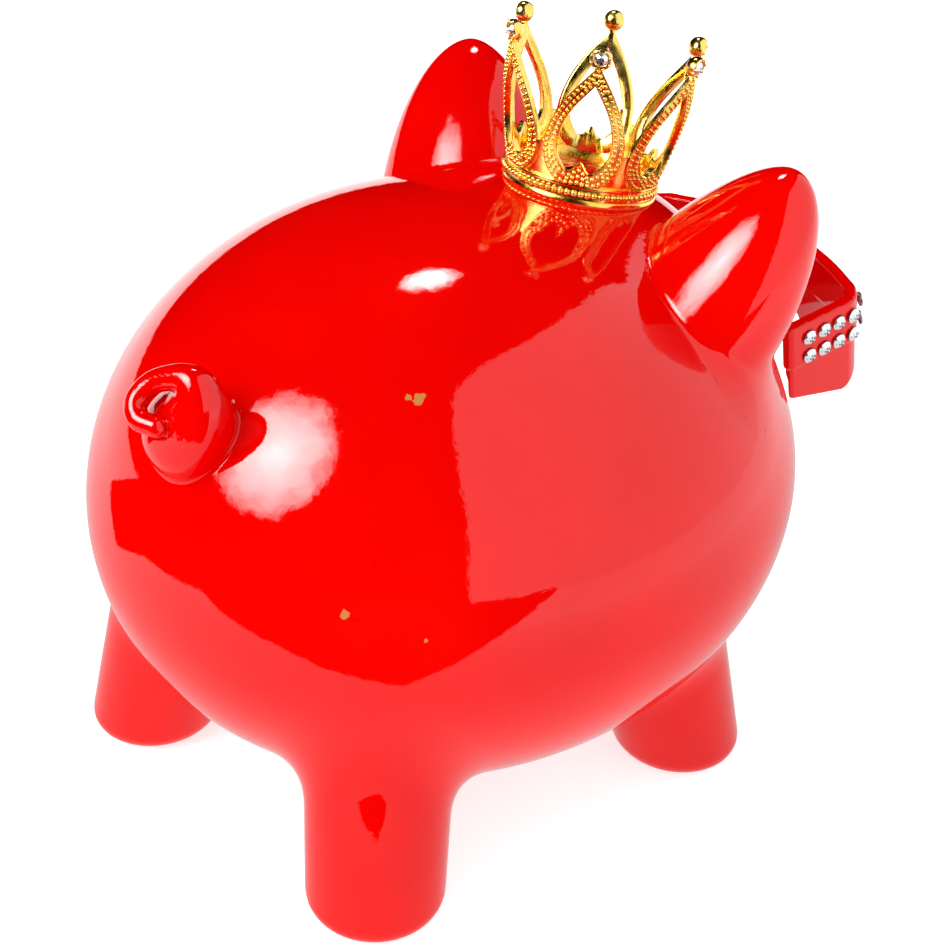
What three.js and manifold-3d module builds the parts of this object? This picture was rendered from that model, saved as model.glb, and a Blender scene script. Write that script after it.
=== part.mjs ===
// Money bank in the shape of a standing pig that wears a small crown and sunglasses.
// Millimetres, +Z up. The pig faces -Y, its tail is at +Y and its right side is at -X.
// The floor is z = 0. The head, legs and trunk are one hollow glazed casting; the ears,
// the tail, the crown, the sunglasses and the stones are glued on; the rubber stopper
// in the belly pulls straight down.

import * as THREE from 'three';
import { mergeVertices } from 'three/addons/utils/BufferGeometryUtils.js';
import Module from 'manifold-3d';

const wasm = await Module();
wasm.setup();

// ---------------------------------------------------------------- driving dimensions

const GAP = 0.3; // clearance that every glued or seated piece keeps to its neighbour
const WALL = 5; // thickness of the casting

const TRUNK = {
  halfWidth: 110,
  halfLength: 117.4,
  halfHeight: 90.5,
  centreHeight: 102,
  widthTaper: -0.04, // share that the width loses from the middle to the rear end
  heightTaper: 0.03,
  pitch: THREE.MathUtils.degToRad(-3.5),
};
const FRONT = -TRUNK.halfLength; // the trunk's front end: the head and all that stands on it keep to this
const HEAD = {
  centre: new THREE.Vector3(0, FRONT + 67.7, 121.3),
  radii: new THREE.Vector3(70.4, 61.1, 69.3),
  blend: 12,
};
const SNOUT = {
  front: FRONT - 28.6, // y of the flat end
  root: FRONT + 57.4, // y of the hidden end, inside the head
  centreHeight: 86,
  halfWidth: 24,
  halfHeight: 19,
  edge: 5, // rounding of the flat end
  blend: 24,
  nostrilRadius: 4,
  nostrilSpread: 9,
  nostrilDepth: 3,
};
const LEG = {
  rearX: 60.8,
  rearY: TRUNK.halfLength - 40.4,
  frontX: 66.4,
  frontY: FRONT + 62.9,
  radiusFoot: 21.8,
  radiusTop: 24.3,
  topHeight: 95, // the hidden upper end, inside the trunk
  splay: 0.16, // sideways and fore-and-aft lean, millimetres for each millimetre of height
  footEdge: 6.5,
  soleTrim: 0.2, // ground off the soles, so that all four lie in one plane
  blend: 12,
};
const EAR = {
  root: new THREE.Vector3(45.8, FRONT + 65, 148), // centre of the left ear's base
  radii: new THREE.Vector3(35.4, 28.7, 62.7),
  leanX: 0.4,
  leanY: -0.33,
  turn: THREE.MathUtils.degToRad(10),
  power: 1.75,
  hollowCentre: new THREE.Vector3(0, -31, 10),
  hollowRadii: new THREE.Vector3(22, 19, 40),
  rimEdge: 5,
};
const TAIL = {
  rootAlong: 0.839012, // where the tail's axis leaves the trunk, as shares of its half length
  rootUp: 0.531492, // and of its half height
  rise: THREE.MathUtils.degToRad(39), // the root points this far above the horizontal
  rootRadius: 14.5,
  tubeRadius: 3.4,
  tipRadius: 3.1,
};
const CROWN = {
  centreY: FRONT + 61.2,
  seatHeight: 186.6, // height of the ring's centre, at the bottom of the band
  tilt: THREE.MathUtils.degToRad(11.3), // leans forward
  phase: THREE.MathUtils.degToRad(130.2), // direction of the first point
  points: 6,
  ringRadius: 24.6, // outer radius of the band
  tipRadius: 33.4, // radius at the middle of the tip stones
  tipHeight: 46.6, // height of the tip stones over the bottom of the band
  bandHeight: 5.5,
  bandThickness: 1.8,
  rimHeight: 1,
  rimStand: 0.5,
  seatDepth: 3, // the blank band reaches this far down before the head is cut out of it
  archWidth: 26,
  archRail: 4.2,
  archThickness: 1.9,
  bezelRadius: 3.4,
  bezelDepth: 3,
};
const STONE = {
  tipRadius: 2.6,
  browRadius: 2.9,
  height: 1.7,
  sides: 6,
  tableShare: 0.6,
  girdleShare: 0.35,
};
const SHADES = {
  centreY: FRONT - 35.9, // the front corners, at mid height
  centreHeight: 121,
  pitch: THREE.MathUtils.degToRad(-8.6), // the top leans back towards the face
  roll: THREE.MathUtils.degToRad(-3.2), // glued on with the left side a little higher
  halfWidth: 48.5,
  halfWidthRear: 45.5,
  depth: 32, // how far the side walls reach back from the front corners
  bulge: 13, // how far the middle of the front stands proud of its corners
  height: 40,
  lean: 0.11, // further lean of the front, millimetres forward for each millimetre down
  rearRise: 8, // how much higher the side walls' lower edge is at the rear end
  wall: 3.4,
  cornerRadius: 7,
  cornerStep: 3.2, // how far forward the corner's curve ends
  stripHeight: 18,
  stripStand: 0.8,
  rowInset: 6.1, // from the top edge to the upper row of stones
  rowPitch: 8.1,
  browSpan: 0.798396, // share of the front, corner to corner, that a row of brow stones takes
  browStones: 13,
  templeStones: 4,
  templePitch: 6.8,
  templeFirst: -1.2, // from the end of the front corner to the first stone on the side
  lensInset: 5,
  lensGapTop: 1.6,
  lensDepth: 1.3,
  notchHalfWidth: 12,
  notchHeight: 11,
  saddleHalfWidth: 7,
  saddleBottom: 5, // over the frame's lower edge
  saddleHeight: 10,
  saddleLength: 31.3, // back from the front wall; the snout is cut out of it
};
const THROUGH = 60; // length of a cut that has to pass right through the wall
const SLOT = { length: 34, width: 5.2, end: 2.6 };
const STOPPER = {
  centreY: 2,
  holeRadius: 13.5,
  clearance: 0.35,
  taper: 0.8,
  flangeRadius: 17.5,
  flangeStand: 2.2,
  plugHeight: 9,
  gripRadius: 5,
  gripHeight: 1.2,
};

// Spacing of the surface net on each piece.
const CELL = { shell: 11, cavity: 15, ear: 6.5, tail: 3.2 };

const COLOUR = {
  glaze: 0xe80500,
  gold: 0xd9a520,
  crystal: 0xe8eef2,
  lens: 0x151012,
  rubber: 0x1c1a19,
};

// ---------------------------------------------------------------- fields
// A field is a function of x, y, z that is negative inside, and about the distance outside.

function smoothMin(a, b, k) {
  const h = Math.max(k - Math.abs(a - b), 0) / k;
  return Math.min(a, b) - (h * h * k) / 4;
}

function smoothMax(a, b, k) {
  return -smoothMin(-a, -b, k);
}

function ellipsoid(x, y, z, rx, ry, rz) {
  const k = Math.hypot(x / rx, y / ry, z / rz);
  const g = Math.hypot(x / (rx * rx), y / (ry * ry), z / (rz * rz));
  return (k * (k - 1)) / Math.max(g, 1e-6);
}

function trunk(x, y, z) {
  const c = Math.cos(TRUNK.pitch);
  const s = Math.sin(TRUNK.pitch);
  const up = z - TRUNK.centreHeight;
  const yy = c * y + s * up;
  const zz = -s * y + c * up;
  const u = yy / TRUNK.halfLength;
  const wide = TRUNK.halfWidth * (1 + TRUNK.widthTaper * u);
  const tall = TRUNK.halfHeight * (1 + TRUNK.heightTaper * u);
  return ellipsoid(x, yy, zz, wide, TRUNK.halfLength, tall);
}

function head(x, y, z) {
  const { centre, radii } = HEAD;
  return ellipsoid(x - centre.x, y - centre.y, z - centre.z, radii.x, radii.y, radii.z);
}

// The distance to a bar's side and to its end, joined into the distance to the bar.
function roundedEnd(side, end) {
  return Math.hypot(Math.max(side, 0), Math.max(end, 0)) + Math.min(Math.max(side, end), 0);
}

// An upright elliptical bar along Y whose flat front end has a rounded edge.
function snout(x, y, z) {
  const across = Math.hypot(x / SNOUT.halfWidth, (z - SNOUT.centreHeight) / SNOUT.halfHeight);
  const side = (across - 1) * Math.min(SNOUT.halfWidth, SNOUT.halfHeight) + SNOUT.edge;
  const end = Math.max(SNOUT.front - y, y - SNOUT.root) + SNOUT.edge;
  return roundedEnd(side, end) - SNOUT.edge;
}

function leg(x, y, z, footX, footY) {
  const leanX = Math.sign(footX) * LEG.splay * z;
  const leanY = Math.sign(footY) * LEG.splay * z;
  const radius = LEG.radiusFoot + ((LEG.radiusTop - LEG.radiusFoot) * z) / LEG.topHeight;
  const side = Math.hypot(x - footX + leanX, y - footY + leanY) - radius + LEG.footEdge;
  const end = Math.max(-z, z - LEG.topHeight) + LEG.footEdge;
  return roundedEnd(side, end) - LEG.footEdge;
}

function body(x, y, z) {
  let d = smoothMin(trunk(x, y, z), head(x, y, z), HEAD.blend);
  d = smoothMin(d, snout(x, y, z), SNOUT.blend);
  for (const side of [-1, 1]) {
    d = smoothMin(d, leg(x, y, z, side * LEG.rearX, LEG.rearY), LEG.blend);
    d = smoothMin(d, leg(x, y, z, side * LEG.frontX, LEG.frontY), LEG.blend);
  }
  return d;
}

// One ear: a leaning pointed petal with a hollow front, cut off where it meets the head.
function ear(x, y, z, side) {
  const w = z - EAR.root.z;
  const across = x * side - EAR.root.x - EAR.leanX * w;
  const back = y - EAR.root.y - EAR.leanY * w;
  const c = Math.cos(EAR.turn);
  const s = Math.sin(EAR.turn);
  const u = c * across + s * back;
  const v = -s * across + c * back;
  const flat = Math.hypot(u / EAR.radii.x, v / EAR.radii.y);
  const high = Math.abs(w / EAR.radii.z);
  const k = Math.pow(Math.pow(flat, EAR.power) + Math.pow(high, EAR.power), 1 / EAR.power);
  const petal = ((k - 1) * Math.hypot(u, v, w)) / Math.max(Math.hypot(flat, high), 1e-6);
  const q = EAR.hollowCentre;
  const r = EAR.hollowRadii;
  const hollow = ellipsoid(u - q.x, v - q.y, w - q.z, r.x, r.y, r.z);
  return smoothMax(petal, -hollow, EAR.rimEdge);
}

// The tail's middle line: up and to the pig's right from the root, then one curl anticlockwise.
const tailAxis = new THREE.Vector3(0, Math.cos(TAIL.rise), Math.sin(TAIL.rise));
const tailRight = new THREE.Vector3(-1, 0, 0);
const tailUp = new THREE.Vector3().crossVectors(tailRight, tailAxis).negate();
const tailRoot = new THREE.Vector3(
  0,
  TRUNK.halfLength * TAIL.rootAlong,
  TRUNK.centreHeight + TRUNK.halfHeight * TAIL.rootUp,
);

// Right, up and out from the root, then the radius of the tail there.
const tailStations = [
  [0.6, 0.3, -5, TAIL.rootRadius],
  [3.6, 1.8, 1.5, TAIL.rootRadius - 0.6],
  [9.5, 6.2, 7, (TAIL.rootRadius * 2 + TAIL.tubeRadius) / 3],
  [12.6, 11, 12, (TAIL.rootRadius + TAIL.tubeRadius * 2) / 3 + 0.6],
  [11.2, 14.8, 16, TAIL.tubeRadius + 2],
  [6.6, 14.3, 18.5, TAIL.tubeRadius + 0.6],
  [0.3, 9.5, 20, TAIL.tubeRadius],
  [-1.5, 2.8, 20.5, TAIL.tubeRadius],
  [2.3, -1.2, 20, (TAIL.tubeRadius + TAIL.tipRadius) / 2],
  [8.1, -0.6, 18.2, TAIL.tipRadius],
];

function tailSpheres(count) {
  const curve = new THREE.CatmullRomCurve3(
    tailStations.map(([right, up, out]) =>
      tailRoot.clone()
        .addScaledVector(tailRight, right)
        .addScaledVector(tailUp, up)
        .addScaledVector(tailAxis, out)),
  );
  const last = tailStations.length - 1;
  return Array.from({ length: count + 1 }, (_, i) => {
    const t = (i / count) * last;
    const k = Math.min(Math.floor(t), last - 1);
    const f = t - k;
    const radius = tailStations[k][3] * (1 - f) + tailStations[k + 1][3] * f;
    return { centre: curve.getPoint(i / count), radius };
  });
}

const tailChain = tailSpheres(64);

function tail(x, y, z) {
  let d = Infinity;
  for (const { centre, radius } of tailChain) {
    d = Math.min(d, Math.hypot(x - centre.x, y - centre.y, z - centre.z) - radius);
  }
  return d;
}

// ---------------------------------------------------------------- meshes from fields

const CORNERS = [0, 1, 2, 3, 4, 5, 6, 7].map((n) => [n & 1, (n >> 1) & 1, n >> 2]);
const EDGES = [
  [0, 1], [2, 3], [4, 5], [6, 7], // along X
  [0, 2], [1, 3], [4, 6], [5, 7], // along Y
  [0, 4], [1, 5], [2, 6], [3, 7], // along Z
];
const FACES = [[0, 1, 3, 2], [4, 5, 7, 6], [0, 1, 5, 4], [2, 3, 7, 6], [0, 2, 6, 4], [1, 3, 7, 5]];

const edgeBetween = (a, b) => EDGES.findIndex((edge) => edge.includes(a) && edge.includes(b));
const FACE_EDGES = FACES.map((face) => face.map((corner, n) => edgeBetween(corner, face[(n + 1) % 4])));

// Groups the crossed edges of a cell into sheets, so that two sheets in one cell stay apart.
function sheetsOf(inside) {
  const crossed = EDGES.map(([a, b]) => inside[a] !== inside[b]);
  const group = EDGES.map((_, n) => n);
  const join = (a, b) => {
    const [keep, drop] = [group[a], group[b]];
    group.forEach((g, n) => { if (g === drop) group[n] = keep; });
  };
  FACES.forEach((face, f) => {
    const here = FACE_EDGES[f].filter((edge) => crossed[edge]);
    if (here.length === 2) join(here[0], here[1]);
    if (here.length === 4) {
      face.forEach((corner, n) => {
        if (inside[corner]) join(FACE_EDGES[f][n], FACE_EDGES[f][(n + 3) % 4]);
      });
    }
  });
  const sheets = new Map();
  crossed.forEach((yes, edge) => {
    if (!yes) return;
    if (!sheets.has(group[edge])) sheets.set(group[edge], []);
    sheets.get(group[edge]).push(edge);
  });
  return [...sheets.values()];
}

// Moves a point along the field's slope until it lies on the surface.
function settle(field, p, reach) {
  const h = 0.05;
  for (let step = 0; step < 4; step++) {
    const d = field(p.x, p.y, p.z);
    const g = new THREE.Vector3(
      field(p.x + h, p.y, p.z) - field(p.x - h, p.y, p.z),
      field(p.x, p.y + h, p.z) - field(p.x, p.y - h, p.z),
      field(p.x, p.y, p.z + h) - field(p.x, p.y, p.z - h),
    ).divideScalar(2 * h);
    const move = THREE.MathUtils.clamp(d / Math.max(g.lengthSq(), 0.2), -reach, reach);
    p.addScaledVector(g, -move);
  }
}

// Surface nets: one vertex for each sheet of the surface in a cell, one quad on each crossed edge.
function meshField(field, box, cell) {
  const size = box.getSize(new THREE.Vector3());
  const count = [size.x, size.y, size.z].map((length) => Math.ceil(length / cell) + 2);
  const start = box.min.clone().subScalar(cell);
  const at = (i, j, k) => (k * (count[1] + 1) + j) * (count[0] + 1) + i;
  const value = new Float64Array((count[0] + 1) * (count[1] + 1) * (count[2] + 1));
  for (let k = 0; k <= count[2]; k++) {
    for (let j = 0; j <= count[1]; j++) {
      for (let i = 0; i <= count[0]; i++) {
        value[at(i, j, k)] = field(start.x + i * cell, start.y + j * cell, start.z + k * cell);
      }
    }
  }
  const vertexOf = new Map();
  const positions = [];
  for (let k = 0; k < count[2]; k++) {
    for (let j = 0; j < count[1]; j++) {
      for (let i = 0; i < count[0]; i++) {
        const values = CORNERS.map(([a, b, c]) => value[at(i + a, j + b, k + c)]);
        const inside = values.map((v) => v < 0);
        if (inside.every((v) => v === inside[0])) continue;
        const corner = new THREE.Vector3(i, j, k).multiplyScalar(cell).add(start);
        for (const sheet of sheetsOf(inside)) {
          const p = new THREE.Vector3();
          for (const edge of sheet) {
            const [a, b] = EDGES[edge];
            const t = values[a] / (values[a] - values[b]);
            p.add(new THREE.Vector3(...CORNERS[a]).lerp(new THREE.Vector3(...CORNERS[b]), t));
            vertexOf.set(at(i, j, k) * EDGES.length + edge, positions.length / 3);
          }
          p.multiplyScalar(cell / sheet.length).add(corner);
          settle(field, p, cell / 4);
          const margin = cell * 0.06; // keeps neighbouring vertices apart
          p.clamp(corner.clone().addScalar(margin), corner.clone().addScalar(cell - margin));
          positions.push(p.x, p.y, p.z);
        }
      }
    }
  }
  const index = [];
  const gap = (a, b) => Math.hypot(...[0, 1, 2].map((n) => positions[3 * a + n] - positions[3 * b + n]));
  const quad = (a, b, c, d, flip) => {
    const [q, r, s, t] = flip ? [d, c, b, a] : [a, b, c, d];
    if (gap(q, s) < gap(r, t)) index.push(q, r, s, q, s, t);
    else index.push(r, s, t, r, t, q);
  };
  for (let k = 1; k < count[2]; k++) {
    for (let j = 1; j < count[1]; j++) {
      for (let i = 1; i < count[0]; i++) {
        const here = value[at(i, j, k)] < 0;
        const v = (a, b, c, edge) => vertexOf.get(at(i - a, j - b, k - c) * EDGES.length + edge);
        if (here !== value[at(i + 1, j, k)] < 0) {
          quad(v(0, 1, 1, 3), v(0, 0, 1, 2), v(0, 0, 0, 0), v(0, 1, 0, 1), !here);
        }
        if (here !== value[at(i, j + 1, k)] < 0) {
          quad(v(1, 0, 1, 7), v(1, 0, 0, 5), v(0, 0, 0, 4), v(0, 0, 1, 6), !here);
        }
        if (here !== value[at(i, j, k + 1)] < 0) {
          quad(v(1, 1, 0, 11), v(0, 1, 0, 10), v(0, 0, 0, 8), v(1, 0, 0, 9), !here);
        }
      }
    }
  }
  const geometry = new THREE.BufferGeometry();
  geometry.setAttribute('position', new THREE.Float32BufferAttribute(positions, 3));
  geometry.setIndex(index);
  return geometry;
}

// ---------------------------------------------------------------- joining and cutting

function solid(geometry) {
  const bare = geometry.clone();
  bare.deleteAttribute('normal');
  bare.deleteAttribute('uv');
  const merged = mergeVertices(bare, 1e-4);
  return new wasm.Manifold(new wasm.Mesh({
    numProp: 3,
    vertProperties: Float32Array.from(merged.attributes.position.array),
    triVerts: Uint32Array.from(merged.index.array),
  }));
}

function geometryOf(manifold) {
  const mesh = manifold.getMesh();
  const geometry = new THREE.BufferGeometry();
  geometry.setAttribute('position', new THREE.Float32BufferAttribute(mesh.vertProperties, 3));
  geometry.setIndex(new THREE.BufferAttribute(mesh.triVerts, 1));
  return geometry;
}

const placed = (geometry, matrix) => geometry.clone().applyMatrix4(matrix);
const moved = (geometry, x, y, z) => geometry.clone().translate(x, y, z);

function boxBetween(x0, y0, z0, x1, y1, z1) {
  return new THREE.Box3(new THREE.Vector3(x0, y0, z0), new THREE.Vector3(x1, y1, z1));
}

// The outer skin of the casting.
function bodySkin() {
  const reachX = TRUNK.halfWidth * (1 + Math.abs(TRUNK.widthTaper));
  const reachY = Math.max(TRUNK.halfLength, LEG.rearY + LEG.radiusFoot);
  const top = Math.max(HEAD.centre.z + HEAD.radii.z, TRUNK.centreHeight + TRUNK.halfHeight);
  const front = Math.min(SNOUT.front, -TRUNK.halfLength - SNOUT.blend / 2);
  const box = boxBetween(-reachX, front, -CELL.shell * 0.4, reachX, reachY, top + HEAD.blend);
  return meshField(body, box, CELL.shell);
}

const skinNet = bodySkin();

// The same skin grown by the gap: what a seated piece has cut out of it.
function grownSkin() {
  const net = skinNet.clone();
  const position = net.attributes.position;
  const h = 0.05;
  for (let i = 0; i < position.count; i++) {
    const [x, y, z] = [position.getX(i), position.getY(i), position.getZ(i)];
    const out = new THREE.Vector3(
      body(x + h, y, z) - body(x - h, y, z),
      body(x, y + h, z) - body(x, y - h, z),
      body(x, y, z + h) - body(x, y, z - h),
    ).setLength(GAP);
    position.setXYZ(i, x + out.x, y + out.y, z + out.z);
  }
  return solid(net);
}

const seat = grownSkin();

// ---------------------------------------------------------------- the casting

function slotShape() {
  const half = SLOT.length / 2;
  const wide = SLOT.width / 2;
  const shape = new THREE.Shape();
  shape.moveTo(-half + SLOT.end, -wide);
  shape.lineTo(half - SLOT.end, -wide);
  shape.absarc(half - SLOT.end, 0, wide, -Math.PI / 2, Math.PI / 2);
  shape.lineTo(-half + SLOT.end, wide);
  shape.absarc(-half + SLOT.end, 0, wide, Math.PI / 2, (3 * Math.PI) / 2);
  return shape;
}

function bodyShell() {
  const net = skinNet.clone();
  net.computeBoundingBox();
  const cavity = solid(meshField((x, y, z) => body(x, y, z) + WALL, net.boundingBox, CELL.cavity));
  const slot = new THREE.ExtrudeGeometry(slotShape(), { depth: THROUGH, bevelEnabled: false, curveSegments: 5 });
  const slotCut = solid(moved(slot, 0, CROWN.centreY, CROWN.seatHeight - THROUGH / 2));
  const hole = new THREE.CylinderGeometry(STOPPER.holeRadius, STOPPER.holeRadius, THROUGH, 32).rotateX(Math.PI / 2);
  const holeCut = solid(moved(hole, 0, STOPPER.centreY, 0));
  let shell = solid(skinNet).subtract(cavity).subtract(slotCut).subtract(holeCut);
  for (const side of [-1, 1]) {
    const nostril = new THREE.SphereGeometry(SNOUT.nostrilRadius, 12, 8);
    nostril.scale(1, SNOUT.nostrilDepth / SNOUT.nostrilRadius, 1.3);
    shell = shell.subtract(solid(moved(nostril, side * SNOUT.nostrilSpread, SNOUT.front, SNOUT.centreHeight)));
  }
  const floor = 4 * TRUNK.halfLength;
  const ground = new THREE.BoxGeometry(floor, floor, 20).translate(0, 0, LEG.soleTrim - 10);
  return geometryOf(shell.subtract(solid(ground)));
}

// ---------------------------------------------------------------- ears and tail

function earGeometry(side) {
  const { root, radii } = EAR;
  const reachX = radii.x + radii.z * Math.abs(EAR.leanX);
  const reachY = radii.y + radii.z * Math.abs(EAR.leanY);
  const box = new THREE.Box3().setFromCenterAndSize(
    new THREE.Vector3(side * root.x, root.y, root.z),
    new THREE.Vector3(2 * reachX, 2 * reachY, 2 * radii.z + CELL.ear),
  );
  const petal = solid(meshField((x, y, z) => ear(x, y, z, side), box, CELL.ear));
  return geometryOf(petal.subtract(seat));
}

function tailGeometry() {
  const reach = TAIL.rootRadius + 16;
  const box = new THREE.Box3().setFromCenterAndSize(
    tailRoot.clone().addScaledVector(tailAxis, 12),
    new THREE.Vector3(2 * reach, 2 * reach, 2 * reach),
  );
  return geometryOf(solid(meshField(tail, box, CELL.tail)).subtract(seat));
}

// ---------------------------------------------------------------- stones

// A flat-backed cut stone that stands on z = 0 and faces +Z.
function stoneGeometry(radius) {
  const girdle = STONE.height * STONE.girdleShare;
  const profile = [
    new THREE.Vector2(0, 0),
    new THREE.Vector2(radius, 0),
    new THREE.Vector2(radius, girdle),
    new THREE.Vector2(radius * STONE.tableShare, STONE.height),
    new THREE.Vector2(0, STONE.height),
  ];
  return new THREE.LatheGeometry(profile, STONE.sides).rotateX(Math.PI / 2);
}

// A matrix that takes +Z to a direction and the origin to a point.
function facing(point, direction) {
  const turn = new THREE.Quaternion().setFromUnitVectors(new THREE.Vector3(0, 0, 1), direction.clone().normalize());
  return new THREE.Matrix4().compose(point, turn, new THREE.Vector3(1, 1, 1));
}

// ---------------------------------------------------------------- the crown

const crownFlare = Math.atan2(CROWN.tipRadius - CROWN.ringRadius, CROWN.tipHeight - CROWN.bandHeight);
const crownPlace = new THREE.Matrix4().compose(
  new THREE.Vector3(0, CROWN.centreY, CROWN.seatHeight),
  new THREE.Quaternion().setFromEuler(new THREE.Euler(CROWN.tilt, 0, 0)),
  new THREE.Vector3(1, 1, 1),
);

const crownRadius = (height) => CROWN.ringRadius + Math.tan(crownFlare) * Math.max(height - CROWN.bandHeight, 0);

// A pointed arch, its middle line at x = 0: half a width at each height, mirrored.
function archOutline(halfWidth, bottom, top) {
  const belly = bottom + halfWidth * 0.95;
  const path = new THREE.Path();
  path.moveTo(0, bottom);
  path.bezierCurveTo(halfWidth * 0.75, bottom, halfWidth, belly - halfWidth * 0.45, halfWidth, belly);
  path.bezierCurveTo(halfWidth, belly + (top - belly) * 0.45, halfWidth * 0.3, top - (top - belly) * 0.22, 0, top);
  return path;
}

function mirroredPoints(path, divisions) {
  const right = path.getPoints(divisions);
  const left = right.slice(1, -1).reverse().map((p) => new THREE.Vector2(-p.x, p.y));
  return right.concat(left);
}

// One point of the crown, as a flat plate that is then wrapped round the flaring cone.
function archGeometry() {
  const top = CROWN.tipHeight - CROWN.bezelRadius * 0.5;
  const outer = mirroredPoints(archOutline(CROWN.archWidth / 2, CROWN.bandHeight - 1.5, top), 4);
  const bottom = CROWN.bandHeight + CROWN.archRail;
  const opening = archOutline(CROWN.archWidth / 2 - CROWN.archRail, bottom, top - CROWN.archRail * 1.7);
  const inner = mirroredPoints(opening, 4);
  inner[0].y += CROWN.archRail * 0.75; // the cusp in the middle of the opening's lower edge
  const shape = new THREE.Shape(outer);
  shape.holes.push(new THREE.Path(inner));
  const plate = new THREE.ExtrudeGeometry(shape, { depth: CROWN.archThickness, bevelEnabled: false });
  const position = plate.attributes.position;
  for (let i = 0; i < position.count; i++) {
    const height = position.getY(i);
    const radius = crownRadius(height) - CROWN.archThickness + position.getZ(i);
    const angle = position.getX(i) / crownRadius(height);
    position.setXYZ(i, radius * Math.cos(angle), radius * Math.sin(angle), height);
  }
  return plate;
}

function bandGeometry() {
  const { ringRadius: r, bandHeight: h, bandThickness: t, rimHeight: rim, rimStand: stand, seatDepth } = CROWN;
  const profile = [
    [r - t, -seatDepth], [r + stand, -seatDepth], [r + stand, rim], [r, rim],
    [r, h - rim], [r + stand, h - rim], [r + stand, h], [r - t, h], [r - t, -seatDepth],
  ];
  return new THREE.LatheGeometry(profile.map(([x, y]) => new THREE.Vector2(x, y)), 36).rotateX(Math.PI / 2);
}

// The round knob at the tip of a point, facing +Z from z = 0.
function bezelGeometry() {
  const r = CROWN.bezelRadius;
  const profile = [
    [0, -CROWN.bezelDepth], [r * 0.6, -CROWN.bezelDepth * 0.85], [r, -CROWN.bezelDepth * 0.3], [r, 0], [0, 0],
  ];
  return new THREE.LatheGeometry(profile.map(([x, y]) => new THREE.Vector2(x, y)), 12).rotateX(Math.PI / 2);
}

// Clears the arch's metal out of the stone's seat and from in front of it.
function recessPlug() {
  const radius = STONE.tipRadius + GAP;
  const length = 3;
  const plug = new THREE.CylinderGeometry(radius, radius, length, 12).rotateX(Math.PI / 2);
  return plug.translate(0, 0, length / 2 - STONE.height * 0.5);
}

const tipAngle = (k) => CROWN.phase + (k * 2 * Math.PI) / CROWN.points;

// Where the stone of point k sits, and which way it looks, in the crown's own frame.
function tipPose(k, offset) {
  const angle = tipAngle(k);
  const sideways = new THREE.Vector3(Math.cos(angle), Math.sin(angle), 0);
  const out = sideways.clone().multiplyScalar(Math.cos(crownFlare)).setZ(-Math.sin(crownFlare));
  const point = sideways.multiplyScalar(CROWN.tipRadius).setZ(CROWN.tipHeight);
  return facing(point.addScaledVector(out, offset), out);
}

function crownGeometry() {
  let crown = solid(bandGeometry());
  const arch = archGeometry();
  const bezel = bezelGeometry();
  for (let k = 0; k < CROWN.points; k++) {
    crown = crown.add(solid(placed(arch, new THREE.Matrix4().makeRotationZ(tipAngle(k)))));
  }
  for (let k = 0; k < CROWN.points; k++) {
    const pose = tipPose(k, 0);
    crown = crown.add(solid(placed(bezel, pose))).subtract(solid(placed(recessPlug(), pose)));
  }
  const inPlace = solid(placed(geometryOf(crown), crownPlace));
  return geometryOf(inPlace.subtract(seat));
}

// ---------------------------------------------------------------- the sunglasses
// Built upright with the front corners at y = 0 and mid height at z = 0, then turned and placed.

const shadesLean = new THREE.Matrix4().makeShear(0, 0, 0, 0, 0, SHADES.lean);
const shadesPlace = new THREE.Matrix4().compose(
  new THREE.Vector3(0, SHADES.centreY, SHADES.centreHeight),
  new THREE.Quaternion().setFromEuler(new THREE.Euler(SHADES.pitch, SHADES.roll, 0)),
  new THREE.Vector3(1, 1, 1),
).multiply(shadesLean);

// The outer face seen from above, grown outwards by some amount: side, corner, front, corner, side.
function shadesPlan(grow) {
  const x = SHADES.halfWidth + grow;
  const rearX = SHADES.halfWidthRear + grow;
  const r = SHADES.cornerRadius;
  const step = -grow - SHADES.cornerStep;
  const front = -grow - SHADES.bulge;
  const path = new THREE.Path();
  path.moveTo(-rearX, SHADES.depth);
  path.lineTo(-x, r);
  path.quadraticCurveTo(-x, -grow - 1, -x + r, step);
  path.quadraticCurveTo(-x * 0.42, front, 0, front);
  path.quadraticCurveTo(x * 0.42, front, x - r, step);
  path.quadraticCurveTo(x, -grow - 1, x, r);
  path.lineTo(rearX, SHADES.depth);
  return path;
}

// The wall between two plans, from one height to another.
function shadesWall(outerGrow, innerGrow, bottom, top) {
  const outline = shadesPlan(outerGrow).getPoints(6);
  const inner = shadesPlan(innerGrow).getPoints(6).reverse();
  const shape = new THREE.Shape(outline.concat(inner));
  const wall = new THREE.ExtrudeGeometry(shape, { depth: top - bottom, bevelEnabled: false });
  return solid(moved(wall, 0, 0, bottom));
}

// A prism along Y of a front-view shape.
function throughFront(shape) {
  const reach = 2 * SHADES.depth;
  const prism = new THREE.ExtrudeGeometry(shape, { depth: 2 * reach, bevelEnabled: false, curveSegments: 6 });
  return solid(prism.rotateX(Math.PI / 2).translate(0, reach, 0));
}

function roundedRectangle(x0, z0, x1, z1, r) {
  const shape = new THREE.Shape();
  shape.moveTo(x0 + r, z0);
  shape.lineTo(x1 - r, z0);
  shape.absarc(x1 - r, z0 + r, r, -Math.PI / 2, 0);
  shape.lineTo(x1, z1 - r);
  shape.absarc(x1 - r, z1 - r, r, 0, Math.PI / 2);
  shape.lineTo(x0 + r, z1);
  shape.absarc(x0 + r, z1 - r, r, Math.PI / 2, Math.PI);
  shape.lineTo(x0, z0 + r);
  shape.absarc(x0 + r, z0 + r, r, Math.PI, 1.5 * Math.PI);
  return shape;
}

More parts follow.
